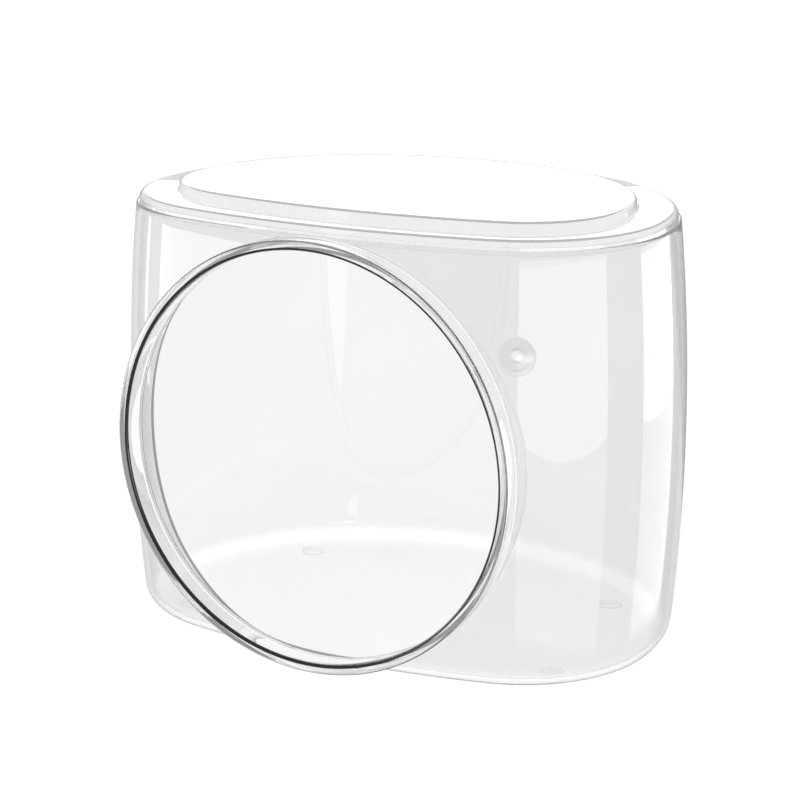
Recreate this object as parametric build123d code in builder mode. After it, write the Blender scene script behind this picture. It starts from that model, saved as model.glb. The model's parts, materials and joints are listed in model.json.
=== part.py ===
from build123d import *
from math import asin, atan2, cos, degrees, radians, sin, sqrt
import os

os.makedirs("parts", exist_ok=True)

# A clear cat bed: a moulded tub with a round entrance in its front and a lift-off lid.
# The bed stands on z = 0 on its four pads, with the entrance towards -Y and the lid at +Z.
# Every length is in millimetres.

# Plan of the tub, a D with a nearly flat front, measured from its widest line
bed_width = 420
front_depth = 122
back_depth = 184.5
front_side_share = 0.915
back_side_share = 0.96

# Wall of the tub, which bulges a little between the floor and the rim
wall = 4
pad_height = 2
floor_thickness = 4
base_round = 18
widest_height = 158
side_radius = 1500
rim_height = 309
rim_round = 1.6

# Round entrance: the sill stands above the floor and the bridge of wall runs above it
entrance_sill = 5
entrance_bridge = 6
neck_wall = 2.2

# Ring pushed on the end of the neck, with a lip on each side of its groove
ring_stand = 12.6
ring_depth = 19.2
ring_wall = 7
ring_front_round = 2.4
ring_back_round = 0.8
ring_lip = 2.1
groove_depth = 6

# Lid: a thin shelf with a rounded edge that steps in to a locating skirt, and a raised middle
lid_wall = 2.2
seat_wall = 1.8
lid_edge_step = 2
lid_edge_height = 7.2
lid_edge_round = 5.2
hollow_round = 0.5
raised_inset = 38
raised_height = 6.8
raised_draft = 1.2
raised_round = 3
raised_foot_round = 1.2
skirt_depth = 4
skirt_round = 1

# Button beside the entrance: a domed cap with a stud, held by a retainer behind the wall
button_angle = 30.3
button_margin = 1.2
button_radius = 13
button_edge = 3
button_crown = 8
button_round = 1.2
stud_radius = 4
retainer_radius = 10
retainer_thickness = 4
retainer_round = 1

# Pads under the floor
pad_radius = 9
pad_margin = 5
pad_round = 0.5
pad_angle = 45

# Clearances
lid_gap = 0.3
fit_gap = 0.2
skirt_gap = 0.5
overrun = 2

# Sizes that follow from the ones above
half_width = bed_width / 2
widest_y = (front_depth + ring_stand - back_depth) / 2
front_y = widest_y - front_depth
base_height = pad_height
floor_height = base_height + floor_thickness
entrance_radius = (rim_height - entrance_bridge - floor_height - entrance_sill) / 2
entrance_height = floor_height + entrance_sill + entrance_radius
neck_bore_radius = entrance_radius + ring_lip + fit_gap
neck_radius = neck_bore_radius + neck_wall
ring_front_y = front_y - ring_stand
ring_back_y = ring_front_y + ring_depth
neck_end_y = ring_back_y - groove_depth
shelf_height = rim_height + lid_edge_height
top_height = shelf_height + raised_height
section_reach = raised_inset + raised_draft + lid_wall + raised_round + overrun


def oval_arcs(depth, small_share):
    """Radii of the side and middle arcs of a quarter of the plan, and the angle where they join."""
    short = min(half_width, depth)
    small = small_share * short
    gap = max(half_width, depth) - small
    large = (gap**2 + short**2 - small**2) / (2 * (short - small))
    side, middle = (small, large) if depth <= half_width else (large, small)
    return side, middle, degrees(atan2(abs(middle - depth), abs(half_width - side)))


front_side, front_middle, front_joint = oval_arcs(front_depth, front_side_share)
back_side, back_middle, back_joint = oval_arcs(back_depth, back_side_share)


def plan_curve(inset):
    """The D outline of the tub, drawn at a distance inside its widest line, from the middle of the front."""
    front_centre = (0, front_y + front_middle)
    back_centre = (0, widest_y + back_depth - back_middle)
    front_x = half_width - front_side
    back_x = half_width - back_side
    front_half = 90 - front_joint
    back_half = 90 - back_joint
    CenterArc(front_centre, front_middle - inset, -90, front_half)
    CenterArc((front_x, widest_y), front_side - inset, -front_joint, front_joint)
    CenterArc((back_x, widest_y), back_side - inset, 0, back_joint)
    CenterArc(back_centre, back_middle - inset, back_joint, 2 * back_half)
    CenterArc((-back_x, widest_y), back_side - inset, 180 - back_joint, back_joint)
    CenterArc((-front_x, widest_y), front_side - inset, 180, front_joint)
    CenterArc(front_centre, front_middle - inset, 180 + front_joint, front_half)


def side_inset(height, depth_in_wall=0):
    """How far inside the widest line the bulging side is at a height, at a depth in its wall."""
    rise = height - widest_height
    return side_radius - sqrt((side_radius - depth_in_wall) ** 2 - rise**2)


def nearest_corner(point):
    """The corner of the sketch being drawn that lies at a point."""
    return vertices().sort_by_distance(point)[0]


# Sections are drawn across the front: local X is the inset from the widest line, local Y the height
with BuildLine() as plan_path:
    plan_curve(0)
section_plane = Plane(origin=(0, front_y, 0), x_dir=(0, 1, 0), z_dir=(1, 0, 0))


def fill_form(depth_in_wall, bottom, top, bottom_round, top_round):
    """The tub's full form at a depth in its wall: its side swept round the plan, with a core inside."""
    low_corner = (side_inset(bottom, depth_in_wall), bottom)
    high_corner = (side_inset(top, depth_in_wall), top)
    with BuildSketch(section_plane) as side:
        with BuildLine():
            ThreePointArc(low_corner, (depth_in_wall, widest_height), high_corner)
            Polyline(high_corner, (section_reach, top), (section_reach, bottom), low_corner)
        make_face()
        fillet(nearest_corner(low_corner), bottom_round)
        if top_round:
            fillet(nearest_corner(high_corner), top_round)
    sweep(side.sketch, path=plan_path.line)
    with BuildSketch(Plane.XY.offset(bottom)) as core:
        with BuildLine():
            plan_curve(section_reach)
        make_face()
    extrude(core.sketch, amount=top - bottom)


# Outer form of the tub, and its hollow, which runs out past the rim
with BuildPart() as outer_form:
    fill_form(0, base_height, rim_height, base_round, rim_round)
with BuildPart() as cabin:
    fill_form(wall, floor_height, rim_height + overrun, base_round - wall, 0)

# Place of the button: beside the neck, square to the wall where the front turns away
button_distance = neck_radius + button_margin + button_radius
button_x = button_distance * cos(radians(button_angle))
button_height = entrance_height + button_distance * sin(radians(button_angle))
in_turn = button_x > (half_width - front_side) + front_side * cos(radians(front_joint))
bend_x = half_width - front_side if in_turn else 0
bend_y = widest_y if in_turn else front_y + front_middle
bend_radius = front_side if in_turn else front_middle
button_reach = bend_radius - side_inset(button_height)
button_turn = asin((button_x - bend_x) / button_reach)
button_tilt = asin((button_height - widest_height) / side_radius)
button_seat = Vector(button_x, bend_y - button_reach * cos(button_turn), button_height)
button_side = Vector(cos(button_turn), sin(button_turn), 0)
button_level = Vector(sin(button_turn), -cos(button_turn), 0)
button_out = cos(button_tilt) * button_level + Vector(0, 0, sin(button_tilt))
button_plane = Plane(origin=button_seat, x_dir=button_side, z_dir=button_out)

# Tub: bulging wall and floor in one moulding, with the thin neck of the entrance
with BuildPart() as body_shell:
    add(outer_form.part)
    with BuildSketch(Plane.XZ.offset(-neck_end_y)):
        with Locations((0, entrance_height)):
            Circle(neck_radius)
    extrude(amount=neck_end_y - widest_y)
    add(cabin.part, mode=Mode.SUBTRACT)
    with BuildSketch(Plane.XZ.offset(-neck_end_y)):
        with Locations((0, entrance_height)):
            Circle(neck_bore_radius)
    extrude(amount=widest_y - neck_end_y, both=True, mode=Mode.SUBTRACT)
    with BuildSketch(button_plane):
        Circle(stud_radius + fit_gap)
    extrude(amount=wall + overrun, both=True, mode=Mode.SUBTRACT)
body_shell.part.label = "body_shell"
export_step(body_shell.part, "parts/body_shell.step")

# Ring: a heavy rounded hoop with a groove behind, seated on the neck's end
ring_inner = entrance_height + entrance_radius
ring_outer = ring_inner + ring_wall
groove_inner = ring_inner + ring_lip
groove_outer = entrance_height + neck_radius + fit_gap
with BuildPart() as entrance_ring:
    with BuildSketch(Plane.YZ):
        with BuildLine():
            Polyline(
                (ring_back_y, ring_inner),
                (ring_front_y, ring_inner),
                (ring_front_y, ring_outer),
                (ring_back_y, ring_outer),
                (ring_back_y, groove_outer),
                (neck_end_y, groove_outer),
                (neck_end_y, groove_inner),
                (ring_back_y, groove_inner),
                close=True,
            )
        make_face()
        fillet(nearest_corner((ring_front_y, ring_inner)), ring_front_round)
        fillet(nearest_corner((ring_front_y, ring_outer)), ring_front_round)
        fillet(nearest_corner((ring_back_y, ring_outer)), ring_back_round)
    revolve(axis=Axis((0, 0, entrance_height), (0, 1, 0)))
entrance_ring.part.label = "entrance_ring"
export_step(entrance_ring.part, "parts/entrance_ring.step")

# Lid: the section of its shelf, raised middle and skirt, swept round the plan over a flat core
lid_bottom = rim_height + lid_gap
seat_top = lid_bottom + seat_wall
shelf_under = shelf_height - lid_wall
lid_edge_inset = side_inset(rim_height) + lid_edge_step
edge_inner = lid_edge_inset + lid_wall
edge_hollow_round = min(lid_edge_round - lid_wall, shelf_under - seat_top - hollow_round)
raised_hollow_round = max(raised_round - lid_wall, hollow_round)
skirt_inset = side_inset(rim_height, wall) + skirt_gap
skirt_inner = skirt_inset + lid_wall
skirt_bottom = rim_height - skirt_depth
with BuildPart() as lid:
    with BuildSketch(section_plane):
        shelf_edge = (lid_edge_inset, shelf_height)
        raised_foot = (raised_inset, shelf_height)
        raised_edge = (raised_inset + raised_draft, top_height)
        raised_hollow = (raised_inset + raised_draft + lid_wall, top_height - lid_wall)
        foot_hollow = (raised_inset + lid_wall, shelf_under)
        edge_hollow = (edge_inner, shelf_under)
        skirt_corners = ((skirt_inner, seat_top), (skirt_inner, skirt_bottom), (skirt_inset, skirt_bottom))
        with BuildLine():
            Polyline(
                (lid_edge_inset, lid_bottom),
                shelf_edge,
                raised_foot,
                raised_edge,
                (section_reach, top_height),
                (section_reach, top_height - lid_wall),
                raised_hollow,
                foot_hollow,
                edge_hollow,
                (edge_inner, seat_top),
                *skirt_corners,
                (skirt_inset, lid_bottom),
                close=True,
            )
        make_face()
        fillet(nearest_corner(shelf_edge), lid_edge_round)
        fillet(nearest_corner(raised_foot), raised_foot_round)
        fillet(nearest_corner(raised_edge), raised_round)
        fillet(nearest_corner(raised_hollow), raised_hollow_round)
        fillet(nearest_corner(foot_hollow), raised_foot_round + lid_wall)
        fillet(nearest_corner(edge_hollow), edge_hollow_round)
        for corner in skirt_corners:
            fillet(nearest_corner(corner), skirt_round)
    sweep(path=plan_path.line)
    with BuildSketch(Plane.XY.offset(top_height - lid_wall)):
        with BuildLine():
            plan_curve(section_reach)
        make_face()
    extrude(amount=lid_wall)
lid.part.label = "lid"
export_step(lid.part, "parts/lid.step")

# Button: the cap's domed section spun round its axis and fitted to the wall, with the stud behind it
retainer_drop = retainer_radius**2 / (2 * (front_side - wall)) + fit_gap
retainer_seat = wall + retainer_drop
button_sink = button_radius**2 / front_side
button_section = Plane(origin=button_seat, x_dir=button_side, z_dir=-button_plane.y_dir)
with BuildPart() as button:
    with BuildSketch(button_section):
        with BuildLine():
            dome_edge = (button_radius, button_edge)
            dome_top = (0, button_crown)
            Polyline(dome_top, (0, -button_sink), (button_radius, -button_sink), dome_edge)
            TangentArc(dome_top, dome_edge, tangent=(1, 0))
        make_face()
        fillet(nearest_corner(dome_edge), button_round)
    revolve(axis=Axis(button_seat, button_out))
    add(outer_form.part, mode=Mode.SUBTRACT)
    with BuildSketch(button_plane.offset(button_edge)):
        Circle(stud_radius)
    extrude(amount=-(button_edge + retainer_seat + retainer_thickness))
button.part.label = "button"
export_step(button.part, "parts/button.step")

# Retainer: a round nut pressed on the end of the stud inside the cabin
with BuildPart() as button_retainer:
    with BuildSketch(button_plane.offset(-retainer_seat)):
        Circle(retainer_radius)
        Circle(stud_radius, mode=Mode.SUBTRACT)
    extrude(amount=-retainer_thickness)
    inner_rim = button_retainer.edges().filter_by(GeomType.CIRCLE).sort_by(SortBy.RADIUS)[-2:]
    fillet(inner_rim, retainer_round)
button_retainer.part.label = "button_retainer"
export_step(button_retainer.part, "parts/button_retainer.step")

# Pads: one under each corner of the floor, where it is still flat
pad_inset = side_inset(base_height) + base_round + pad_radius + pad_margin
for end, side_arc, away in (("front", front_side, -1), ("back", back_side, 1)):
    pad_reach = side_arc - pad_inset
    pad_x = half_width - side_arc + pad_reach * cos(radians(pad_angle))
    pad_y = widest_y + away * pad_reach * sin(radians(pad_angle))
    for hand, side in (("left", -1), ("right", 1)):
        with BuildPart() as pad:
            with BuildSketch():
                with Locations((side * pad_x, pad_y)):
                    Circle(pad_radius)
            extrude(amount=pad_height)
            fillet(pad.edges().group_by(Axis.Z)[0], pad_round)
        pad.part.label = f"pad_{end}_{hand}"
        export_step(pad.part, f"parts/pad_{end}_{hand}.step")
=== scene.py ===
"""Finished look of a clear semi-enclosed cat bed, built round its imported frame."""

import json
from math import atan2, ceil, copysign, cos, pi, radians, sin, sqrt, tan

import bmesh
import bpy
from mathutils import Matrix, Vector

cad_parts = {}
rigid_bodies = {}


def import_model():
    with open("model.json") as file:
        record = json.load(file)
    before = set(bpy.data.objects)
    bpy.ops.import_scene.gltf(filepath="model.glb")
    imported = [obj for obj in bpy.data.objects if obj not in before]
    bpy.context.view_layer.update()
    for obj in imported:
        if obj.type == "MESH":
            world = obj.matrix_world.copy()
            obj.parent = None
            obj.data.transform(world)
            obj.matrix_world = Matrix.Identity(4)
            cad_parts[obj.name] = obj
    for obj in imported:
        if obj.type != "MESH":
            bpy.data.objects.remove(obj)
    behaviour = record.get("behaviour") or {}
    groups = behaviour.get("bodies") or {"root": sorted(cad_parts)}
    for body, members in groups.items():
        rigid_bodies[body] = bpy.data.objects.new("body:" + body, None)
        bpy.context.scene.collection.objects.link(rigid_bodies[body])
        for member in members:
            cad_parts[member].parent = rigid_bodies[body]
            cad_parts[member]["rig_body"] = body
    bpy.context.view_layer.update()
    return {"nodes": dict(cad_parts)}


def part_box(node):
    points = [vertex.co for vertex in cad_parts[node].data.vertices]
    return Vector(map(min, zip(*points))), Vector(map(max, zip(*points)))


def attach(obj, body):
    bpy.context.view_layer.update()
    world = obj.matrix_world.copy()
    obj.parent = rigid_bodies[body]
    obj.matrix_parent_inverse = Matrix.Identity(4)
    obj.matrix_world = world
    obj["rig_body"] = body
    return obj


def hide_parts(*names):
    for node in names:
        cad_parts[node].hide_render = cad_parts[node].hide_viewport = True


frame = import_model()

bl_info = {
    "name": "Clear cat bed",
    "version": (1, 0, 0),
    "blender": (4, 5, 0),
    "location": "3D View > Sidebar > Cat Bed",
    "description": "Builds the clear tub, lid, ring, button and pads of a cat bed, and its studio",
    "category": "Object",
}

MM = 0.001

# Points nearer than SMALL are one, or than SEAM where the tub's turns join. Edges that turn by more
# than SHARP stay sharp.
SMALL = 1e-6
SEAM = 20 * SMALL
SHARP = radians(28)

# How far the neck's fillets stop short of what they touch, and how far the inner one runs on.
ARC_TRIM = radians(8)
EXIT = 1.2 * MM

# How far the hollow stands out of the rim, and the length of the form that cuts the button's hole.
OVERCUT = 2 * MM
HOLE_LENGTH = 30 * MM

# Flat border of the tub's ends and of the lid's middle, inside which a cap closes them.
TUB_FLAT = 10 * MM
LID_FLAT = 2 * MM

# Longest step round the plan, and the number of steps round each other curve.
PLAN_STEP = 3.5 * MM
BASE_STEPS = 12
SIDE_STEPS = 44
RIM_STEPS = 6
CORNER_STEPS = 6
LID_CORNER_STEPS = 8
FILLET_STEPS = 8
NECK_STEPS = 240
RING_STEPS = 288
DOME_STEPS = 24
DISC_STEPS = 96
SMALL_DISC_STEPS = 48

ring_low, ring_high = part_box("entrance_ring")
RING_CENTRE = (ring_low + ring_high) / 2
RING_RADIUS = (ring_high.z - ring_low.z) / 2

# Scale of the marks on each clear finish, and its refractive index.
FINISHES = {
    "tub_clear": (14, 1.38),
    "lid_clear": (12, 1.36),
    "ring_clear": (20, 1.49),
    "fitting_clear": (40, 1.12),
    "pad_clear": (60, 1.41),
}
COAT_ROUGHNESS = 0.02
COAT_INDEX = 1.49

# Clouds in each clear finish, and the parts of their range that vary the tint and show as wiping marks.
CLOUD_DETAIL = 3
CLOUD_ROUGHNESS = 0.55
CLOUD_RANGE = (0.3, 0.7)
CLOUD_TINT = (0.985, 1.0)
WIPE_RANGE = (0.5, 0.75)
RIPPLE_HEIGHT = 0.2 * MM

# How far the tub is seen edge on where its tint begins and ends to darken, partly as the tint's longer
# path and partly as painted shade, and how far above its floor its tint is painted lightest.
EDGE_ON = (0.55, 0.9)
FLOOR_FADE = 2 * MM

# Light that has been mirrored more often than this is caught inside a wall, where the clear finishes add a
# painted glow in place of the light that the bounce limit drops.
MIRRORINGS = 3

# Reach of the painted shade lines on the ring's edges, which stand in for the dark surroundings seen
# through them, and the share of light that they leave.
FRONT_INNER_PAINTED_SHADE = (2.2 * MM, 0)
FRONT_OUTER_PAINTED_SHADE = (1.2 * MM, 0.15)
BACK_INNER_PAINTED_SHADE = (1.0 * MM, 0.1)
PAINTED_SHADE_FADE = 0.35 * MM

# Place and direction of the camera, with its focal length and film width in millimetres.
CAMERA_PLACE = (0.8254, -1.5535, 0.6411)
CAMERA_WAY = (-0.45806, 0.84928, -0.26251)
LENS = 111.67
SENSOR = 36

# The floor lies a little below the pads, so that no two faces share a place.
FLOOR_RADIUS = 12
FLOOR_DROP = 0.2 * MM
FLOOR_PAINT = (0.85, 0.85, 0.85, 1)
FLOOR_ROUGHNESS = 0.9

# Name, angles round the bed, heights and level of each soft panel.
PANEL_REACH = 0.9
SOFTBOXES = (
    ("left_strip", (-88, -84), (0, 0.25), 3.0),
    ("left", (-70, -36), (0, 0.26), 4.5),
    ("right", (28, 84), (0, 0.33), 2.6),
    ("right_back", (113, 150), (0, 0.25), 2.6),
    ("top_back", (-175, -125), (0.42, 0.95), 1.6),
)

# The dark flag behind the bed, seen from above, and where it ends in height.
FLAG_MIDDLE = radians(-165)
FLAG_HALF = radians(32)
FLAG_BLUR = radians(5)
FLAG_TOP = (0.1, 0.16)

# Right and left border and level of each painted light band on the floor, which only mirrors see, in place
# of lamps, and where they begin.
PAINTED_BAND_START = (0.235, 0.275)
PAINTED_BAND_BLUR = 2 * MM
PAINTED_LIGHT_BANDS = (
    (((0.1437, -0.1237), (0.4225, -0.7946)), ((0.1886, -0.0859), (0.8951, -0.0941)), 3.05),
    (((0.2025, -0.0576), (0.8285, 0.3517)), ((0.2078, -0.0173), (0.45, 0.7794)), 3.05),
)


def length(label, words, value, low=0.0, high=1.0):
    """A size in metres, shown in the sidebar."""
    return bpy.props.FloatProperty(
        name=label,
        description=words,
        default=value,
        min=low,
        max=high,
        unit="LENGTH",
        subtype="DISTANCE",
    )


def amount(label, words, value, low=0.0, high=1.0):
    """A plain number between two limits, shown in the sidebar."""
    return bpy.props.FloatProperty(
        name=label,
        description=words,
        default=value,
        min=low,
        max=high,
        subtype="FACTOR",
    )


def colour(label, words, value):
    """A linear colour, shown in the sidebar."""
    return bpy.props.FloatVectorProperty(
        name=label,
        description=words,
        default=value,
        min=0,
        max=1,
        size=3,
        subtype="COLOR",
    )


class TubSizes(bpy.types.PropertyGroup):
    """Sizes of the tub's plan, wall and floor."""

    width: length("Width", "Widest size of the tub", 420 * MM)
    front_depth: length("Front depth", "From the widest line to the front", 122 * MM)
    back_depth: length("Back depth", "From the widest line to the back", 184.5 * MM)
    widest_y: length("Widest line", "Place of the widest line along Y", -24.95 * MM, -1.0)
    front_side_share: amount("Front corner share", "Corner radius as a share of the front depth", 0.915)
    back_side_share: amount("Back corner share", "Corner radius as a share of the back depth", 0.96)
    wall: length("Wall", "Thickness of the wall", 4 * MM)
    base: length("Base height", "Height of the floor's underside", 2 * MM)
    floor: length("Floor", "Thickness of the floor", 4 * MM)
    base_round: length("Base rounding", "Radius round the base", 18 * MM)
    widest_height: length("Widest height", "Height at which the wall bulges most", 158 * MM)
    side_radius: length("Bulge radius", "Radius of the wall's bulge", 1.5, 0.0, 10.0)
    rim: length("Rim height", "Height of the wall's rim", 309 * MM)
    rim_round: length("Rim rounding", "Radius of the rim's outer edge", 1.6 * MM)


class EntranceSizes(bpy.types.PropertyGroup):
    """Sizes of the round entrance, its neck and its ring."""

    radius: length("Entrance radius", "Inner radius of the ring", RING_RADIUS - 7 * MM)
    lip: length("Ring lip", "Thickness of the ring inside its groove", 2.1 * MM)
    neck_wall: length("Neck wall", "Thickness of the neck", 2.2 * MM)
    groove_depth: length("Groove depth", "How deep the neck reaches into the ring", 2.5 * MM)
    root_round: length("Neck root rounding", "Radius where the neck leaves the wall", 1.5 * MM)
    ring_wall: length("Ring wall", "Thickness of the ring", 7 * MM)
    front_round: length("Front rounding", "Radius of the ring's front edges", 1.5 * MM)
    back_round: length("Back rounding", "Radius of the ring's back edge", 0.8 * MM)
    gap: length("Fit gap", "Clearance round the neck's end", 0.2 * MM)


class LidSizes(bpy.types.PropertyGroup):
    """Sizes of the lid's shelf, raised middle and skirt."""

    gap: length("Rim gap", "Clearance between the rim and the lid", 0.3 * MM)
    wall: length("Lid wall", "Thickness of the lid", 2.2 * MM)
    seat_wall: length("Seat wall", "Thickness of the lid where it sits on the rim", 1.8 * MM)
    edge_inset: length("Edge inset", "From the wall's outside in to the lid's edge", 2 * MM)
    edge_height: length("Edge height", "Height of the lid's edge above the rim", 7.2 * MM)
    edge_round: length("Edge rounding", "Radius of the lid's top edge", 5.2 * MM)
    raised_inset: length("Raised inset", "From the widest line in to the raised middle", 38 * MM)
    raised_height: length("Raised height", "Height of the raised middle above the shelf", 6.8 * MM)
    raised_draft: length("Raised draft", "How far the raised middle's side leans in", 1.2 * MM)
    raised_round: length("Raised rounding", "Radius of the raised middle's top edge", 3 * MM)
    foot_round: length("Foot rounding", "Radius at the foot of the raised middle", 1.2 * MM)
    skirt_depth: length("Skirt depth", "Depth of the skirt below the rim", 4 * MM)
    skirt_gap: length("Skirt gap", "Clearance between the wall and the skirt", 0.5 * MM)
    skirt_round: length("Skirt rounding", "Radius of the skirt's lower edges", 1 * MM)
    hollow_round: length("Hollow rounding", "Least radius of the hollows under the lid", 0.5 * MM)


class FittingSizes(bpy.types.PropertyGroup):
    """Sizes of the button, its retainer and the pads."""

    button_radius: length("Button radius", "Radius of the button's cap", 13 * MM)
    button_edge: length("Button edge", "Height of the cap's side", 3 * MM)
    button_crown: length("Button crown", "Height of the domed cap", 8 * MM)
    button_round: length("Button rounding", "Radius of the cap's edge", 1.2 * MM)
    button_margin: length("Button margin", "From the neck to the button", 1.2 * MM)
    button_angle: bpy.props.FloatProperty(
        name="Button angle",
        description="Place round the entrance",
        default=radians(30.3),
        unit="ROTATION",
        subtype="ANGLE",
    )
    stud_radius: length("Stud radius", "Radius of the stud behind the cap", 4 * MM)
    retainer_radius: length("Retainer radius", "Radius of the retainer", 10 * MM)
    retainer_thickness: length("Retainer thickness", "Thickness of the retainer", 4 * MM)
    retainer_round: length("Retainer rounding", "Radius of the retainer's edge", 1 * MM)
    pad_round: length("Pad rounding", "Radius of the pads' lower edge", 0.5 * MM)
    pad_gap: length("Pad gap", "Clearance between the pads and the floor above them", 0.1 * MM)


class ClearLook(bpy.types.PropertyGroup):
    """Colours and finish of the clear plastic and the pads."""

    shell_tint: colour("Shell tint", "Light that the tub lets through", (0.87, 0.872, 0.875))
    lid_tint: colour("Lid tint", "Light that the lid lets through", (0.95, 0.952, 0.955))
    ring_tint: colour("Ring tint", "Light that the ring lets through", (0.95, 0.952, 0.955))
    fitting_tint: colour("Fitting tint", "Light that the button lets through", (0.975, 0.977, 0.98))
    pad_tint: colour("Pad tint", "Light that the pads let through", (0.97, 0.97, 0.97))
    # Painted light: how much lighter the tub's tint is made near its floor.
    painted_floor_light: amount("Floor share", "Light through the tub's floor against its wall", 1.14, 1.0, 1.2)
    # How much darker the tub is edge on: partly the tint's longer path, partly painted shade.
    edge: amount("Edge tint", "How much darker the tub is where it is seen edge on", 0.4)
    # Painted glow: level of the emission added where light is caught inside each piece.
    shell_painted_glow: amount("Shell glow", "Level of the light that is caught inside the tub's walls", 0.15)
    lid_painted_glow: amount("Lid glow", "Level of the light that is caught inside the lid", 0.25)
    fitting_painted_glow: amount("Fitting glow", "Level of the light that is caught inside the button", 0.5)
    pad_painted_glow: amount("Pad glow", "Level of the light that is caught inside the pads", 0.6)
    frost: amount("Button frost", "Roughness of the button under its clear coat", 0.5)
    smudge: amount("Smudges", "Roughness of the faint wiping marks", 0.03)
    pad_smudge: amount("Pad smudges", "Roughness of the marks on the satin pads", 0.4)
    ripple: amount("Ripple", "Strength of the faint moulding ripple", 0.02)


class StudioLook(bpy.types.PropertyGroup):
    """Levels of the pale studio."""

    background: amount("Background", "Brightness of the backdrop and floor", 1.0, 0.0, 2.0)
    floor_glow: amount("Floor brightness", "Brightness of the floor's own white", 1.13, 0.0, 2.0)
    mirrored: amount("Mirrored level", "Brightness of the backdrop and floor in mirrors", 0.75, 0.0, 2.0)
    flag: amount("Flag level", "Brightness of the dark flag that is seen only in mirrors", 0.35)
    room: amount("Room light", "Soft light from all round", 0.75, 0.0, 2.0)
    shadow: amount("Shadow", "How much of the floor's own shading shows", 0.15)


PROPERTIES = {
    "tub_sizes": TubSizes,
    "entrance_sizes": EntranceSizes,
    "lid_sizes": LidSizes,
    "fitting_sizes": FittingSizes,
    "clear_look": ClearLook,
    "studio_look": StudioLook,
}


def oval_arcs(half_width, depth, small_share):
    """Side and middle radii of a quarter of the plan, and the angle where the arcs join."""
    short = min(half_width, depth)
    small = small_share * short
    gap = max(half_width, depth) - small
    large = (gap**2 + short**2 - small**2) / (2 * (short - small))
    side, middle = (small, large) if depth <= half_width else (large, small)
    return side, middle, atan2(abs(middle - depth), abs(half_width - side))


def plan_turns(tub):
    """Centres, radii and angles of the plan's arcs, once round from the middle of the front."""
    half_width = tub.width / 2
    front_side, front_middle, front_joint = oval_arcs(half_width, tub.front_depth, tub.front_side_share)
    back_side, back_middle, back_joint = oval_arcs(half_width, tub.back_depth, tub.back_side_share)
    front = (0, tub.widest_y - tub.front_depth + front_middle)
    back = (0, tub.widest_y + tub.back_depth - back_middle)
    front_x = half_width - front_side
    back_x = half_width - back_side
    return (
        (front, front_middle, pi / 2 - front_joint),
        ((front_x, tub.widest_y), front_side, front_joint),
        ((back_x, tub.widest_y), back_side, back_joint),
        (back, back_middle, pi - 2 * back_joint),
        ((-back_x, tub.widest_y), back_side, back_joint),
        ((-front_x, tub.widest_y), front_side, front_joint),
        (front, front_middle, pi / 2 - front_joint),
    )


def side_inset(tub, height, depth_in_wall=0.0):
    """How far inside the widest line the bulging side is at a height, at a depth in its wall."""
    rise = height - tub.widest_height
    return tub.side_radius - sqrt((tub.side_radius - depth_in_wall) ** 2 - rise**2)


def side_place(tub, height, depth_in_wall, bottom):
    """Inset of the rounded side of a form at a height, and its inward normal as (inset, height)."""
    bulge = Vector((tub.side_radius, tub.widest_height))
    bulge_radius = tub.side_radius - depth_in_wall
    low_radius = tub.base_round - depth_in_wall
    low_height = bottom + low_radius
    low_inset = bulge.x - sqrt((bulge_radius - low_radius) ** 2 - (low_height - bulge.y) ** 2)
    low = Vector((low_inset, low_height))
    joint = low + low_radius * (low - bulge).normalized()
    centre, radius = (low, low_radius) if height < joint.y else (bulge, bulge_radius)
    inset = centre.x - sqrt(radius**2 - (height - centre.y) ** 2)
    return inset, (centre - Vector((inset, height))) / radius


def wall_place(tub, x, height, depth_in_wall, bottom):
    """Point of the front wall at a depth in it, straight behind a place, and its normal into the cabin."""
    inset, inward = side_place(tub, height, depth_in_wall, bottom)
    side, middle, joint = oval_arcs(tub.width / 2, tub.front_depth, tub.front_side_share)
    centre = Vector((0, tub.widest_y - tub.front_depth + middle))
    reach = middle - inset
    if abs(x) > reach * cos(joint):
        centre = Vector((copysign(tub.width / 2 - side, x), tub.widest_y))
        reach = side - inset
    across = (x - centre.x) / reach
    level = Vector((-across, sqrt(1 - across**2), 0))
    normal = inward.x * level + Vector((0, 0, inward.y))
    return Vector((x, centre.y - reach * level.y, height)), normal


def turn(mesh, geometry, centre, axis, angle, steps, closed=False):
    """Spins geometry about an axis and returns what it ends in."""
    spun = bmesh.ops.spin(
        mesh,
        geom=geometry,
        cent=centre,
        axis=axis,
        dvec=(0, 0, 0),
        angle=angle,
        steps=steps,
        use_merge=closed,
        use_normal_flip=False,
        use_duplicate=False,
    )
    return spun["geom_last"]


def turn_round(mesh, centre, axis, steps):
    """Spins all that a mesh holds once about an axis."""
    turn(mesh, list(mesh.verts) + list(mesh.edges), centre, axis, 2 * pi, steps, closed=True)


def draw_line(mesh, points, closed=False):
    """Joins points by straight edges and returns the vertices."""
    line = [mesh.verts.new(point) for point in points]
    for start, end in zip(line, line[1:]):
        mesh.edges.new((start, end))
    if closed:
        mesh.edges.new((line[-1], line[0]))
    return line


def round_corner(mesh, corner, radius, segments=CORNER_STEPS):
    """Rounds one corner of a line to a radius."""
    first, second = [(edge.other_vert(corner).co - corner.co).normalized() for edge in corner.link_edges]
    bmesh.ops.bevel(
        mesh,
        geom=[corner],
        offset=radius / tan(first.angle(second) / 2),
        offset_type="OFFSET",
        segments=segments,
        profile=0.5,
        affect="VERTICES",
        material=-1,
        clamp_overlap=True,
    )


def carry_round(mesh, tub):
    """Carries the section in the mesh once round the tub's plan."""
    ending = list(mesh.verts) + list(mesh.edges)
    for centre, radius, angle in plan_turns(tub):
        steps = max(ceil(radius * angle / PLAN_STEP), 1)
        ending = turn(mesh, ending, (*centre, 0), (0, 0, 1), angle, steps)
    bmesh.ops.remove_doubles(mesh, verts=mesh.verts, dist=SEAM)


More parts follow.
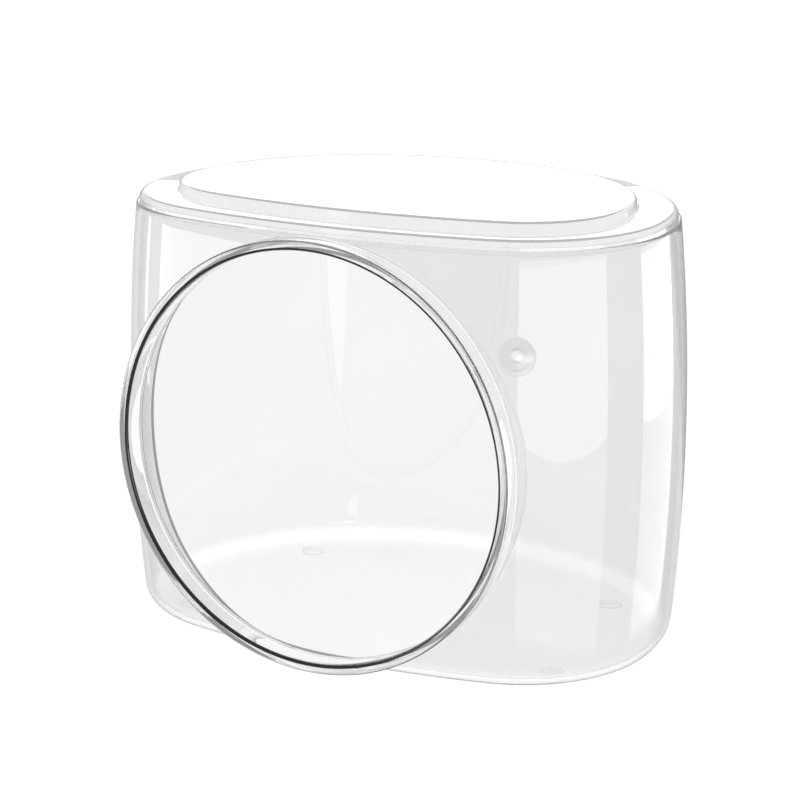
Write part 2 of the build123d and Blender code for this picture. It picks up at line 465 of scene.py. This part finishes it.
def close_up(mesh):
    """Caps the open loops of a shape and turns its faces outwards."""
    open_edges = [edge for edge in mesh.edges if edge.is_boundary]
    if open_edges:
        bmesh.ops.holes_fill(mesh, edges=open_edges, sides=0)
    bmesh.ops.recalc_face_normals(mesh, faces=mesh.faces)


def solid_object(name, mesh):
    """Makes an object of a shape, smooth apart from its sharp edges."""
    data = bpy.data.meshes.new(name)
    mesh.to_mesh(data)
    mesh.free()
    made = bpy.data.objects.new(name, data)
    bpy.context.scene.collection.objects.link(made)
    smooth(data)
    return made


def smooth(data):
    """Shades a mesh smooth, apart from its sharp edges."""
    data.polygons.foreach_set("use_smooth", [True] * len(data.polygons))
    data.set_sharp_from_angle(angle=SHARP)


def tub_form(tub, name, depth_in_wall, bottom, top, bottom_round, top_round, reach):
    """The tub's full form at a depth in its wall, with its bulging side and flat ends."""
    front = tub.widest_y - tub.front_depth
    bulge = Vector((0, front + tub.side_radius, tub.widest_height))
    radius = tub.side_radius - depth_in_wall
    mesh = bmesh.new()
    low = bulge.y - sqrt((radius - bottom_round) ** 2 - (bottom + bottom_round - bulge.z) ** 2)
    high = bulge.y - sqrt((radius - top_round) ** 2 - (top - top_round - bulge.z) ** 2)
    low_centre = Vector((0, low, bottom + bottom_round))
    high_centre = Vector((0, high, top - top_round))
    corner = draw_line(mesh, ((0, front + reach, bottom), (0, low, bottom)))[-1]
    low_angle = atan2(bulge.z - low_centre.z, bulge.y - low)
    high_angle = atan2(high_centre.z - bulge.z, bulge.y - high)
    ending = turn(mesh, [corner], low_centre, (-1, 0, 0), pi / 2 - low_angle, BASE_STEPS)
    ending = turn(mesh, ending, bulge, (-1, 0, 0), low_angle + high_angle, SIDE_STEPS)
    if top_round:
        ending = turn(mesh, ending, high_centre, (-1, 0, 0), pi / 2 - high_angle, RIM_STEPS)
    last = [item for item in ending if isinstance(item, bmesh.types.BMVert)][0]
    mesh.edges.new((last, mesh.verts.new((0, front + reach, top))))
    carry_round(mesh, tub)
    close_up(mesh)
    return solid_object(name, mesh)


def ring_solid(name, points, rounds, steps):
    """A hoop about the entrance's axis, from its section's corners as (y, radius) and their rounding."""
    mesh = bmesh.new()
    line = draw_line(mesh, [(0, y, RING_CENTRE.z + radius) for y, radius in points], closed=True)
    for corner, radius in rounds.items():
        round_corner(mesh, line[corner], radius)
    turn_round(mesh, (0, 0, RING_CENTRE.z), (0, 1, 0), steps)
    close_up(mesh)
    return solid_object(name, mesh)


def turned_solid(name, place, mesh, steps=DISC_STEPS):
    """A round piece from the section in a mesh, about the Z axis of a place."""
    turn_round(mesh, (0, 0, 0), (0, 0, 1), steps)
    bmesh.ops.remove_doubles(mesh, verts=mesh.verts, dist=SMALL)
    close_up(mesh)
    bmesh.ops.transform(mesh, matrix=place, verts=mesh.verts)
    return solid_object(name, mesh)


def disc_solid(name, place, points, rounds, steps=DISC_STEPS):
    """A round piece about the Z axis of a place, from its section's corners as (radius, height)."""
    mesh = bmesh.new()
    line = draw_line(mesh, [(radius, 0, height) for radius, height in points])
    for corner, radius in rounds.items():
        round_corner(mesh, line[corner], radius)
    return turned_solid(name, place, mesh, steps)


def loft_solid(name, rows, closed):
    """A solid round the entrance's axis through rows of points, closed in a ring or at both ends."""
    mesh = bmesh.new()
    loops = []
    for points in zip(*rows):
        line = draw_line(mesh, points, closed=True)
        loops.append([edge for vert in line for edge in vert.link_edges])
    pairs = list(zip(loops, loops[1:]))
    if closed:
        pairs.append((loops[-1], loops[0]))
    for first, second in pairs:
        bmesh.ops.bridge_loops(mesh, edges=list({*first, *second}))
    close_up(mesh)
    return solid_object(name, mesh)


def rolled_arcs(tub, pipe_radius, ball, depth_in_wall, bottom):
    """Arcs that a ball draws as it rolls round the entrance, between a pipe and the wall.

    Each has its centre, the directions from there to the pipe and to the wall, and its points. They
    stop a little short of both, so that the fillet crosses them instead of only touching them."""
    for step in range(NECK_STEPS):
        angle = 2 * pi * step / NECK_STEPS
        inward = Vector((-cos(angle), 0, -sin(angle)))
        away = -(pipe_radius + ball) * inward
        centre, normal = wall_place(tub, away.x, RING_CENTRE.z + away.z, depth_in_wall, bottom)
        swing = normal.angle(inward) - 2 * ARC_TRIM
        upright = (normal - normal.dot(inward) * inward).normalized()
        turns = [ARC_TRIM + swing * place / FILLET_STEPS for place in range(FILLET_STEPS + 1)]
        points = [centre + ball * (cos(turned) * inward + sin(turned) * upright) for turned in turns]
        yield centre, inward, normal, points


def neck_root(tub, entrance):
    """The fillet round the neck where it leaves the wall, as a ring that reaches into both."""
    ball = entrance.root_round
    outer_radius = neck_radii(entrance)[0]
    rows = []
    for centre, inward, normal, arc in rolled_arcs(tub, outer_radius, ball, -ball, tub.base - ball):
        to_neck = (ball + entrance.neck_wall / 2) * inward
        to_wall = (ball + tub.wall / 2) * normal
        rows.append((centre + to_neck, *arc, centre + to_wall, centre + to_neck + to_wall))
    return loft_solid("tub_neck_root", rows, True)


def neck_mouth(tub, entrance):
    """The bore of the neck, which opens with a rounding into the cabin and ends there in a point."""
    ball = entrance.root_round + tub.wall
    bore_radius = neck_radii(entrance)[1]
    rows = []
    bottom = tub.base + tub.floor - ball
    for centre, inward, _, arc in rolled_arcs(tub, bore_radius, ball, tub.wall - ball, bottom):
        on_bore = centre + ball * inward
        way_out = (arc[-1] - arc[-2]).normalized()
        start = Vector((on_bore.x, ring_low.y, on_bore.z))
        end = Vector((0, tub.widest_y, RING_CENTRE.z)) - entrance.lip * inward
        rows.append((start, on_bore, *arc, arc[-1] + EXIT * way_out, end))
    return loft_solid("tub_neck_mouth", rows, False)


def cut(made, tools):
    """Joins or takes away other solids, in order, and drops them."""
    for tool, operation in tools:
        modifier = made.modifiers.new(tool.name, "BOOLEAN")
        modifier.operation = operation
        modifier.solver = "EXACT"
        modifier.object = tool
        bpy.context.view_layer.update()
        shaped = bpy.data.meshes.new_from_object(made.evaluated_get(bpy.context.evaluated_depsgraph_get()))
        made.modifiers.clear()
        made.data = shaped
        bpy.data.objects.remove(tool)
    tidy = bmesh.new()
    tidy.from_mesh(made.data)
    bmesh.ops.remove_doubles(tidy, verts=tidy.verts, dist=SMALL)
    bmesh.ops.dissolve_degenerate(tidy, dist=SMALL, edges=tidy.edges)
    tidy.to_mesh(made.data)
    tidy.free()
    smooth(made.data)
    return made


def neck_radii(entrance):
    """Outer and inner radius of the neck, whose end sits in the ring's groove."""
    bore_radius = entrance.radius + entrance.lip + entrance.gap
    return bore_radius + entrance.neck_wall, bore_radius


def button_place(scene):
    """Seat of the button on the wall, as a matrix with +Z out of the wall."""
    tub, entrance, fittings = scene.tub_sizes, scene.entrance_sizes, scene.fitting_sizes
    distance = neck_radii(entrance)[0] + fittings.button_margin + fittings.button_radius
    x = distance * cos(fittings.button_angle)
    height = RING_CENTRE.z + distance * sin(fittings.button_angle)
    seat, inward = wall_place(tub, x, height, 0, tub.base)
    side = Vector((inward.y, -inward.x, 0)).normalized()
    place = Matrix((side, side.cross(inward), -inward)).transposed().to_4x4()
    return Matrix.Translation(seat) @ place


def dress(made, node, material):
    """Puts a finished piece in a CAD node's place."""
    made.data.materials.clear()
    made.data.materials.append(material)
    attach(made, frame["nodes"][node]["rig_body"])
    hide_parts(node)


def feed(tree, socket, value):
    """Links what another node puts out to a socket, or sets the socket to a plain value."""
    if isinstance(value, bpy.types.NodeSocket):
        tree.links.new(value, socket)
    else:
        socket.default_value = value


def maths(tree, operation, *values, kind="ShaderNodeMath", output="Value"):
    """What a maths node makes of its values."""
    node = tree.nodes.new(kind)
    node.operation = operation
    for socket, value in zip(node.inputs, values):
        feed(tree, socket, value)
    return node.outputs[output]


def measure(tree, operation, *vectors):
    """A number worked out from vectors, such as a length."""
    return maths(tree, operation, *vectors, kind="ShaderNodeVectorMath")


def combine(tree, operation, *vectors):
    """A vector worked out from others."""
    return maths(tree, operation, *vectors, kind="ShaderNodeVectorMath", output="Vector")


def scaled(tree, vector, factor):
    """A vector or colour times a factor."""
    times = tree.nodes.new("ShaderNodeVectorMath")
    times.operation = "SCALE"
    feed(tree, times.inputs[0], vector)
    feed(tree, times.inputs["Scale"], factor)
    return times.outputs["Vector"]


def ranged(tree, value, start, end, first, last, fade="SMOOTHSTEP"):
    """A factor that goes from the first to the last level between two values."""
    change = tree.nodes.new("ShaderNodeMapRange")
    change.interpolation_type = fade
    change.inputs["From Min"].default_value = start
    change.inputs["From Max"].default_value = end
    change.inputs["To Min"].default_value = first
    change.inputs["To Max"].default_value = last
    tree.links.new(value, change.inputs["Value"])
    return change.outputs["Result"]


def coordinates(tree, kind="Object"):
    """Where a point of a piece is, or which way the world is seen."""
    return tree.nodes.new("ShaderNodeTexCoord").outputs[kind]


def along(tree, vector, axis):
    """One coordinate of a vector."""
    parts = tree.nodes.new("ShaderNodeSeparateXYZ")
    tree.links.new(vector, parts.inputs["Vector"])
    return parts.outputs[axis]


def finish_group():
    """Node group for a wiped, moulded surface: a tint that varies a little, faint smudges and a ripple."""
    name = "moulded_finish"
    if name in bpy.data.node_groups:
        return bpy.data.node_groups[name]
    group = bpy.data.node_groups.new(name, "ShaderNodeTree")
    for label, way, kind in (
        ("Tint", "INPUT", "NodeSocketColor"),
        ("Smudge", "INPUT", "NodeSocketFloat"),
        ("Size", "INPUT", "NodeSocketFloat"),
        ("Color", "OUTPUT", "NodeSocketColor"),
        ("Roughness", "OUTPUT", "NodeSocketFloat"),
        ("Height", "OUTPUT", "NodeSocketFloat"),
    ):
        group.interface.new_socket(label, in_out=way, socket_type=kind)
    given = group.nodes.new("NodeGroupInput").outputs
    made = group.nodes.new("NodeGroupOutput").inputs
    cloud = group.nodes.new("ShaderNodeTexNoise")
    cloud.inputs["Detail"].default_value = CLOUD_DETAIL
    cloud.inputs["Roughness"].default_value = CLOUD_ROUGHNESS
    feed(group, cloud.inputs["Vector"], coordinates(group))
    feed(group, cloud.inputs["Scale"], given["Size"])
    shade = ranged(group, cloud.outputs["Fac"], *CLOUD_RANGE, *CLOUD_TINT, "LINEAR")
    wipe = ranged(group, cloud.outputs["Fac"], *WIPE_RANGE, 0, 1, "LINEAR")
    feed(group, made["Color"], scaled(group, given["Tint"], shade))
    feed(group, made["Roughness"], maths(group, "MULTIPLY", wipe, given["Smudge"]))
    feed(group, made["Height"], cloud.outputs["Fac"])
    return group


def clear_material(name, tint, smudge, ripple=0.0, edge=0.0, frost=0.0, painted_glow=0.0):
    """Clear plastic with a faint tint, smudges and moulding ripple, darker where it is seen edge on,
    partly as the tint's longer path and partly as painted shade, with a painted glow where light is caught
    inside.
    """
    if name in bpy.data.materials:
        return bpy.data.materials[name]
    marks, index = FINISHES[name]
    material = bpy.data.materials.new(name)
    material.use_nodes = True
    tree = material.node_tree
    plastic = tree.nodes["Principled BSDF"].inputs
    plastic["Metallic"].default_value = 0
    plastic["Transmission Weight"].default_value = 1
    plastic["IOR"].default_value = index
    finish = tree.nodes.new("ShaderNodeGroup")
    finish.node_tree = finish_group()
    finish.inputs["Tint"].default_value = (*tint, 1)
    finish.inputs["Smudge"].default_value = smudge
    finish.inputs["Size"].default_value = marks
    feed(tree, plastic["Base Color"], finish.outputs["Color"])
    if edge:
        # Darker edge on: partly the tint's longer path through the wall, partly painted shade in place of
        # the dark surroundings seen through the wall edge on.
        facing = tree.nodes.new("ShaderNodeLayerWeight")
        facing.inputs["Blend"].default_value = 0.5
        scale_tint(tree, ranged(tree, facing.outputs["Facing"], *EDGE_ON, 1, 1 - edge))
    if frost:
        plastic["Roughness"].default_value = frost
        plastic["Coat Weight"].default_value = 1
        plastic["Coat Roughness"].default_value = COAT_ROUGHNESS
        plastic["Coat IOR"].default_value = COAT_INDEX
    else:
        feed(tree, plastic["Roughness"], finish.outputs["Roughness"])
    # Painted glow: emission where light has been mirrored more than MIRRORINGS times, as it is caught
    # inside a wall.
    if painted_glow:
        depth = tree.nodes.new("ShaderNodeLightPath").outputs["Glossy Depth"]
        glow = ranged(tree, depth, MIRRORINGS, MIRRORINGS + 1, 0, painted_glow, "LINEAR")
        feed(tree, plastic["Emission Color"], glow)
        plastic["Emission Strength"].default_value = 1
        material.cycles.emission_sampling = "NONE"
    if ripple:
        bump = tree.nodes.new("ShaderNodeBump")
        bump.inputs["Strength"].default_value = ripple
        bump.inputs["Distance"].default_value = RIPPLE_HEIGHT
        feed(tree, bump.inputs["Height"], finish.outputs["Height"])
        feed(tree, plastic["Normal"], bump.outputs["Normal"])
    return material


def scale_tint(tree, factor):
    """Multiplies a material's tint by a factor."""
    tint = tree.nodes["Principled BSDF"].inputs["Base Color"]
    feed(tree, tint, scaled(tree, tint.links[0].from_socket, factor))


def paint_light_near_floor(tree, height, share):
    """Paints light into the tint below a height, where light passes the floor as well as the wall."""
    level = along(tree, coordinates(tree), "Z")
    scale_tint(tree, ranged(tree, level, height, 2 * height, share, 1))


def paint_shade_near_circles(tree, circles):
    """Paints shade into a material's tint near circles round the entrance's axis, as dark lines in place
    of the dark surroundings seen through the edges.

    Each circle has a radius, a place along Y, the reach of the dark and the share of light left."""
    offset = combine(tree, "SUBTRACT", coordinates(tree), (RING_CENTRE.x, 0, RING_CENTRE.z))
    away = measure(tree, "LENGTH", combine(tree, "MULTIPLY", offset, (1, 0, 1)))
    section = tree.nodes.new("ShaderNodeCombineXYZ")
    feed(tree, section.inputs["X"], away)
    feed(tree, section.inputs["Y"], along(tree, offset, "Y"))
    for radius, y, reach, left in circles:
        distance = measure(tree, "DISTANCE", section.outputs["Vector"], (radius, y, 0))
        scale_tint(tree, ranged(tree, distance, reach - PAINTED_SHADE_FADE, reach, left, 1))


class BuildTub(bpy.types.Operator):
    """Builds the clear tub with its floor and neck"""

    bl_idname = "cat_bed.build_tub"
    bl_label = "Build Tub"

    def execute(self, context):
        scene = context.scene
        tub, entrance, look = scene.tub_sizes, scene.entrance_sizes, scene.clear_look
        reach = scene.lid_sizes.raised_inset + TUB_FLAT
        outer = tub_form(tub, "tub", 0, tub.base, tub.rim, tub.base_round, tub.rim_round, reach)
        hollow_round = tub.base_round - tub.wall
        inner_floor = tub.base + tub.floor
        above = tub.rim + OVERCUT
        hollow = tub_form(tub, "tub_hollow", tub.wall, inner_floor, above, hollow_round, 0, reach)
        outer_radius, bore_radius = neck_radii(entrance)
        inside = bore_radius - entrance.lip
        tip = ring_high.y - entrance.groove_depth
        neck_points = (
            (tip, inside),
            (tip, outer_radius),
            (tub.widest_y, outer_radius),
            (tub.widest_y, inside),
        )
        hole_radius = scene.fitting_sizes.stud_radius + entrance.gap
        hole = bmesh.new()
        bmesh.ops.create_cone(
            hole,
            cap_ends=True,
            segments=SMALL_DISC_STEPS,
            radius1=hole_radius,
            radius2=hole_radius,
            depth=HOLE_LENGTH,
            matrix=button_place(scene),
        )
        made = cut(
            outer,
            (
                (ring_solid("tub_neck", neck_points, {}, NECK_STEPS), "UNION"),
                (neck_root(tub, entrance), "UNION"),
                (hollow, "DIFFERENCE"),
                (neck_mouth(tub, entrance), "DIFFERENCE"),
                (solid_object("tub_button_hole", hole), "DIFFERENCE"),
            ),
        )
        material = clear_material(
            "tub_clear",
            look.shell_tint,
            look.smudge,
            ripple=look.ripple,
            edge=look.edge,
            painted_glow=look.shell_painted_glow,
        )
        # Painted light: the tub's tint is lighter near its floor.
        paint_light_near_floor(material.node_tree, inner_floor + FLOOR_FADE, look.painted_floor_light)
        dress(made, "body_shell", material)
        return {"FINISHED"}


class BuildLid(bpy.types.Operator):
    """Builds the lid with its rounded shelf, raised middle and skirt"""

    bl_idname = "cat_bed.build_lid"
    bl_label = "Build Lid"

    def execute(self, context):
        scene = context.scene
        tub, lid, look = scene.tub_sizes, scene.lid_sizes, scene.clear_look
        front = tub.widest_y - tub.front_depth
        under = tub.rim + lid.gap
        shelf = tub.rim + lid.edge_height
        top = shelf + lid.raised_height
        edge = front + side_inset(tub, tub.rim) + lid.edge_inset
        raised = front + lid.raised_inset
        skirt = front + side_inset(tub, tub.rim, tub.wall) + lid.skirt_gap
        reach = raised + lid.raised_draft + lid.wall + lid.raised_round + LID_FLAT
        skirt_bottom = tub.rim - lid.skirt_depth
        mesh = bmesh.new()
        section = (
            (reach, top),
            (raised + lid.raised_draft, top),
            (raised, shelf),
            (edge, shelf),
            (edge, under),
            (skirt, under),
            (skirt, skirt_bottom),
            (skirt + lid.wall, skirt_bottom),
            (skirt + lid.wall, under + lid.seat_wall),
            (edge + lid.wall, under + lid.seat_wall),
            (edge + lid.wall, shelf - lid.wall),
            (raised + lid.wall, shelf - lid.wall),
            (raised + lid.raised_draft + lid.wall, top - lid.wall),
            (reach, top - lid.wall),
        )
        line = draw_line(mesh, [(0, y, z) for y, z in section])
        hollow_height = shelf - lid.wall - under - lid.seat_wall
        rounds = {
            1: lid.raised_round,
            2: lid.foot_round,
            3: lid.edge_round,
            6: lid.skirt_round,
            7: lid.skirt_round,
            8: lid.skirt_round,
            10: min(lid.edge_round - lid.wall, hollow_height - lid.hollow_round),
            11: lid.foot_round + lid.wall,
            12: max(lid.raised_round - lid.wall, lid.hollow_round),
        }
        for corner, radius in rounds.items():
            round_corner(mesh, line[corner], radius, LID_CORNER_STEPS)
        carry_round(mesh, tub)
        close_up(mesh)
        made = solid_object("lid_clear", mesh)
        material = clear_material(
            "lid_clear",
            look.lid_tint,
            look.smudge,
            ripple=look.ripple,
            painted_glow=look.lid_painted_glow,
        )
        dress(made, "lid", material)
        return {"FINISHED"}


class BuildRing(bpy.types.Operator):
    """Builds the heavy rounded ring of the entrance"""

    bl_idname = "cat_bed.build_ring"
    bl_label = "Build Ring"

    def execute(self, context):
        scene = context.scene
        entrance, look = scene.entrance_sizes, scene.clear_look
        front, back = ring_low.y, ring_high.y
        inner = entrance.radius
        outer = inner + entrance.ring_wall
        groove_outer = neck_radii(entrance)[0] + entrance.gap
        groove_inner = inner + entrance.lip
        groove_end = back - entrance.groove_depth - entrance.gap
        points = (
            (back, inner),
            (front, inner),
            (front, outer),
            (back, outer),
            (back, groove_outer),
            (groove_end, groove_outer),
            (groove_end, groove_inner),
            (back, groove_inner),
        )
        rounds = {1: entrance.front_round, 2: entrance.front_round, 3: entrance.back_round}
        made = ring_solid("ring_clear", points, rounds, RING_STEPS)
        material = clear_material("ring_clear", look.ring_tint, look.smudge)
        # Painted shade: dark lines on the ring's edges, each with its radius, place along Y, reach and
        # share of light left.
        edges = (
            (inner, front, *FRONT_INNER_PAINTED_SHADE),
            (outer, front, *FRONT_OUTER_PAINTED_SHADE),
            (inner, back, *BACK_INNER_PAINTED_SHADE),
        )
        paint_shade_near_circles(material.node_tree, edges)
        dress(made, "entrance_ring", material)
        return {"FINISHED"}


class BuildButton(bpy.types.Operator):
    """Builds the domed button and the retainer behind the wall"""

    bl_idname = "cat_bed.build_button"
    bl_label = "Build Button"

    def execute(self, context):
        scene = context.scene
        tub, fittings, look = scene.tub_sizes, scene.fitting_sizes, scene.clear_look
        gap = scene.entrance_sizes.gap
        side_arc = oval_arcs(tub.width / 2, tub.front_depth, tub.front_side_share)[0]
        seat = tub.wall + fittings.retainer_radius**2 / (2 * (side_arc - tub.wall)) + gap
        end = -(seat + fittings.retainer_thickness)
        radius, edge, crown = fittings.button_radius, fittings.button_edge, fittings.button_crown
        place = button_place(scene)
        rise = crown - edge
        dome_radius = (radius**2 + rise**2) / (2 * rise)
        dome_angle = atan2(radius, dome_radius - rise)
        stud = fittings.stud_radius
        mesh = bmesh.new()
        foot = draw_line(mesh, ((0, 0, end), (stud, 0, end), (stud, 0, 0), (radius, 0, 0)))
        side = mesh.verts.new((radius, 0, edge))
        mesh.edges.new((foot[-1], side))
        turn(mesh, [side], (0, 0, crown - dome_radius), (0, -1, 0), dome_angle, DOME_STEPS)
        round_corner(mesh, side, fittings.button_round)
        material = clear_material(
            "fitting_clear",
            look.fitting_tint,
            look.smudge,
            frost=look.frost,
            painted_glow=look.fitting_painted_glow,
        )
        dress(turned_solid("button_clear", place, mesh), "button", material)
        hole = stud + gap / 4
        outside = fittings.retainer_radius
        points = ((hole, -seat), (outside, -seat), (outside, end), (hole, end), (hole, -seat))
        retainer = disc_solid("button_retainer_clear", place, points, {2: fittings.retainer_round})
        dress(retainer, "button_retainer", material)
        return {"FINISHED"}


class BuildPads(bpy.types.Operator):
    """Builds the four clear pads under the floor"""

    bl_idname = "cat_bed.build_pads"
    bl_label = "Build Pads"

    def execute(self, context):
        scene = context.scene
        look, fittings = scene.clear_look, scene.fitting_sizes
        material = clear_material("pad_clear", look.pad_tint, look.pad_smudge, painted_glow=look.pad_painted_glow)
        for node in ("pad_front_left", "pad_front_right", "pad_back_left", "pad_back_right"):
            low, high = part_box(node)
            centre = (low + high) / 2
            radius, height = (high.x - low.x) / 2, high.z - low.z - fittings.pad_gap
            place = Matrix.Translation((centre.x, centre.y, low.z))
            points = ((0, height), (radius, height), (radius, 0), (0, 0))
            rounds = {2: fittings.pad_round}
            pad = disc_solid(node + "_clear", place, points, rounds, SMALL_DISC_STEPS)
            dress(pad, node, material)
        return {"FINISHED"}


class BuildStudio(bpy.types.Operator):
    """Builds the pale floor, the soft lights and the camera"""

    bl_idname = "cat_bed.build_studio"
    bl_label = "Build Studio"

    def execute(self, context):
        scene = context.scene
        studio = scene.studio_look
        mesh = bmesh.new()
        bmesh.ops.create_circle(
            mesh,
            cap_ends=True,
            segments=DISC_STEPS,
            radius=FLOOR_RADIUS,
            matrix=Matrix.Translation((0, 0, -FLOOR_DROP)),
        )
        floor = solid_object("studio_floor", mesh)
        floor.data.materials.append(floor_material(studio))
        scene.world = studio_world(studio)
        for name, angles, heights, level in SOFTBOXES:
            softbox(name, angles, heights, level)
        camera = bpy.data.objects.new("photo_camera", bpy.data.cameras.new("photo_camera"))
        camera.data.sensor_width = SENSOR
        camera.data.lens = LENS
        camera.location = CAMERA_PLACE
        camera.rotation_mode = "QUATERNION"
        camera.rotation_quaternion = Vector(CAMERA_WAY).to_track_quat("-Z", "Y")
        scene.collection.objects.link(camera)
        scene.camera = camera
        scene.view_settings.view_transform = "Standard"
        return {"FINISHED"}


def softbox(name, angles, heights, level):
    """An upright soft panel that spans two angles round the bed and is seen only in reflections."""
    start, end = (PANEL_REACH * Vector((sin(angle), -cos(angle), 0)) for angle in map(radians, angles))
    bottom, top = heights
    lamp = bpy.data.lights.new(name, "AREA")
    lamp.shape = "RECTANGLE"
    lamp.size, lamp.size_y = (end - start).length, top - bottom
    lamp.energy = level * pi * lamp.size * lamp.size_y
    made = bpy.data.objects.new(name, lamp)
    middle = (start + end) / 2
    made.location = (middle.x, middle.y, (bottom + top) / 2)
    made.rotation_mode = "QUATERNION"
    made.rotation_quaternion = (-middle).to_track_quat("-Z", "Y")
    made.visible_camera = False
    made.visible_transmission = False
    made.visible_diffuse = False
    bpy.context.scene.collection.objects.link(made)


def mixed_level(tree, factor, other, level):
    """One brightness where the factor is 0, and another where it is 1."""
    mix = tree.nodes.new("ShaderNodeMix")
    feed(tree, mix.inputs["Factor"], factor)
    feed(tree, mix.inputs["A"], other)
    feed(tree, mix.inputs["B"], level)
    return mix.outputs["Result"]


def seen_level(tree, direct, mirrored, other):
    """A brightness for rays that look at or through things, that are mirrored, and that light them."""
    path = tree.nodes.new("ShaderNodeLightPath").outputs
    looking = maths(tree, "MAXIMUM", path["Is Camera Ray"], path["Is Transmission Ray"])
    indirect = mixed_level(tree, path["Is Glossy Ray"], other, mirrored)
    return mixed_level(tree, looking, indirect, direct)


def beyond(tree, place, start, end):
    """1 to the left of the line from one point of the floor to another, 0 to its right."""
    side = Vector((start[1] - end[1], end[0] - start[0], 0)).normalized()
    line = side.dot(Vector((*start, 0)))
    across = measure(tree, "DOT_PRODUCT", place, side)
    return ranged(tree, across, line - PAINTED_BAND_BLUR, line + PAINTED_BAND_BLUR, 0, 1)


def flag(tree, place):
    """1 in the directions of the dark flag behind the bed, seen from above, 0 elsewhere."""
    way = combine(tree, "NORMALIZE", combine(tree, "MULTIPLY", place, (1, 1, 0)))
    towards = measure(tree, "DOT_PRODUCT", way, (sin(FLAG_MIDDLE), -cos(FLAG_MIDDLE), 0))
    return ranged(tree, towards, cos(FLAG_HALF + FLAG_BLUR), cos(FLAG_HALF), 0, 1)


def floor_material(studio):
    """Pale floor that shows white, with its own shading mixed in, and with painted light bands and a
    darker sector that only mirrors see.
    """
    material = bpy.data.materials.new("studio_floor")
    material.use_nodes = True
    tree = material.node_tree
    paint = tree.nodes["Principled BSDF"]
    paint.inputs["Base Color"].default_value = FLOOR_PAINT
    paint.inputs["Roughness"].default_value = FLOOR_ROUGHNESS
    paint.inputs["Specular IOR Level"].default_value = 0
    white = studio.floor_glow
    place = coordinates(tree)
    # Painted reflection: what mirrors see of the floor is darker towards the flag behind the bed and
    # brighter in the painted light bands.
    mirrored = mixed_level(tree, flag(tree, place), white * studio.mirrored, studio.flag)
    clear = ranged(tree, measure(tree, "LENGTH", place), *PAINTED_BAND_START, 0, 1)
    for right, left, level in PAINTED_LIGHT_BANDS:
        painted_band = maths(tree, "MULTIPLY", beyond(tree, place, *right), beyond(tree, place, *reversed(left)))
        mirrored = mixed_level(tree, maths(tree, "MULTIPLY", painted_band, clear), mirrored, level)
    glow = tree.nodes.new("ShaderNodeEmission")
    feed(tree, glow.inputs["Strength"], seen_level(tree, white, mirrored, 0))
    share = 1 - studio.shadow
    mixed = tree.nodes.new("ShaderNodeMixShader")
    feed(tree, mixed.inputs["Fac"], seen_level(tree, share, share, 0))
    feed(tree, mixed.inputs[1], paint.outputs["BSDF"])
    feed(tree, mixed.inputs[2], glow.outputs["Emission"])
    feed(tree, tree.nodes["Material Output"].inputs["Surface"], mixed.outputs["Shader"])
    return material


def studio_world(studio):
    """Backdrop that shows white, and plain soft light from all round."""
    world = bpy.data.worlds.new("studio")
    world.use_nodes = True
    tree = world.node_tree
    backdrop = tree.nodes["Background"].inputs
    backdrop["Color"].default_value = (1, 1, 1, 1)
    way = coordinates(tree, "Generated")
    low = ranged(tree, along(tree, way, "Z"), *FLAG_TOP, 1, 0)
    flagged = maths(tree, "MULTIPLY", flag(tree, way), low)
    mirrored = mixed_level(tree, flagged, studio.mirrored, studio.flag)
    feed(tree, backdrop["Strength"], seen_level(tree, studio.background, mirrored, studio.room))
    return world


OPERATORS = (BuildTub, BuildLid, BuildRing, BuildButton, BuildPads, BuildStudio)


class CatBedPanel(bpy.types.Panel):
    """Sizes and looks of the cat bed, with a button for each piece"""

    bl_idname = "CATBED_PT_pieces"
    bl_label = "Clear Cat Bed"
    bl_space_type = "VIEW_3D"
    bl_region_type = "UI"
    bl_category = "Cat Bed"

    def draw(self, context):
        for name in PROPERTIES:
            box = self.layout.box()
            sizes = getattr(context.scene, name)
            for key in sizes.bl_rna.properties.keys():
                if key not in ("name", "rna_type"):
                    box.prop(sizes, key)
        for operator in OPERATORS:
            self.layout.operator(operator.bl_idname)


CLASSES = (*PROPERTIES.values(), *OPERATORS, CatBedPanel)


def register():
    """Adds the property groups, operators and panel to Blender."""
    for group in CLASSES:
        bpy.utils.register_class(group)
    for name, group in PROPERTIES.items():
        setattr(bpy.types.Scene, name, bpy.props.PointerProperty(type=group))


def unregister():
    """Takes them out again."""
    for name in PROPERTIES:
        delattr(bpy.types.Scene, name)
    for group in reversed(CLASSES):
        bpy.utils.unregister_class(group)


def main():
    """Builds every piece and the studio."""
    register()
    bpy.ops.cat_bed.build_tub()
    bpy.ops.cat_bed.build_lid()
    bpy.ops.cat_bed.build_ring()
    bpy.ops.cat_bed.build_button()
    bpy.ops.cat_bed.build_pads()
    bpy.ops.cat_bed.build_studio()
    bpy.context.view_layer.update()


if __name__ == "__main__":
    main()
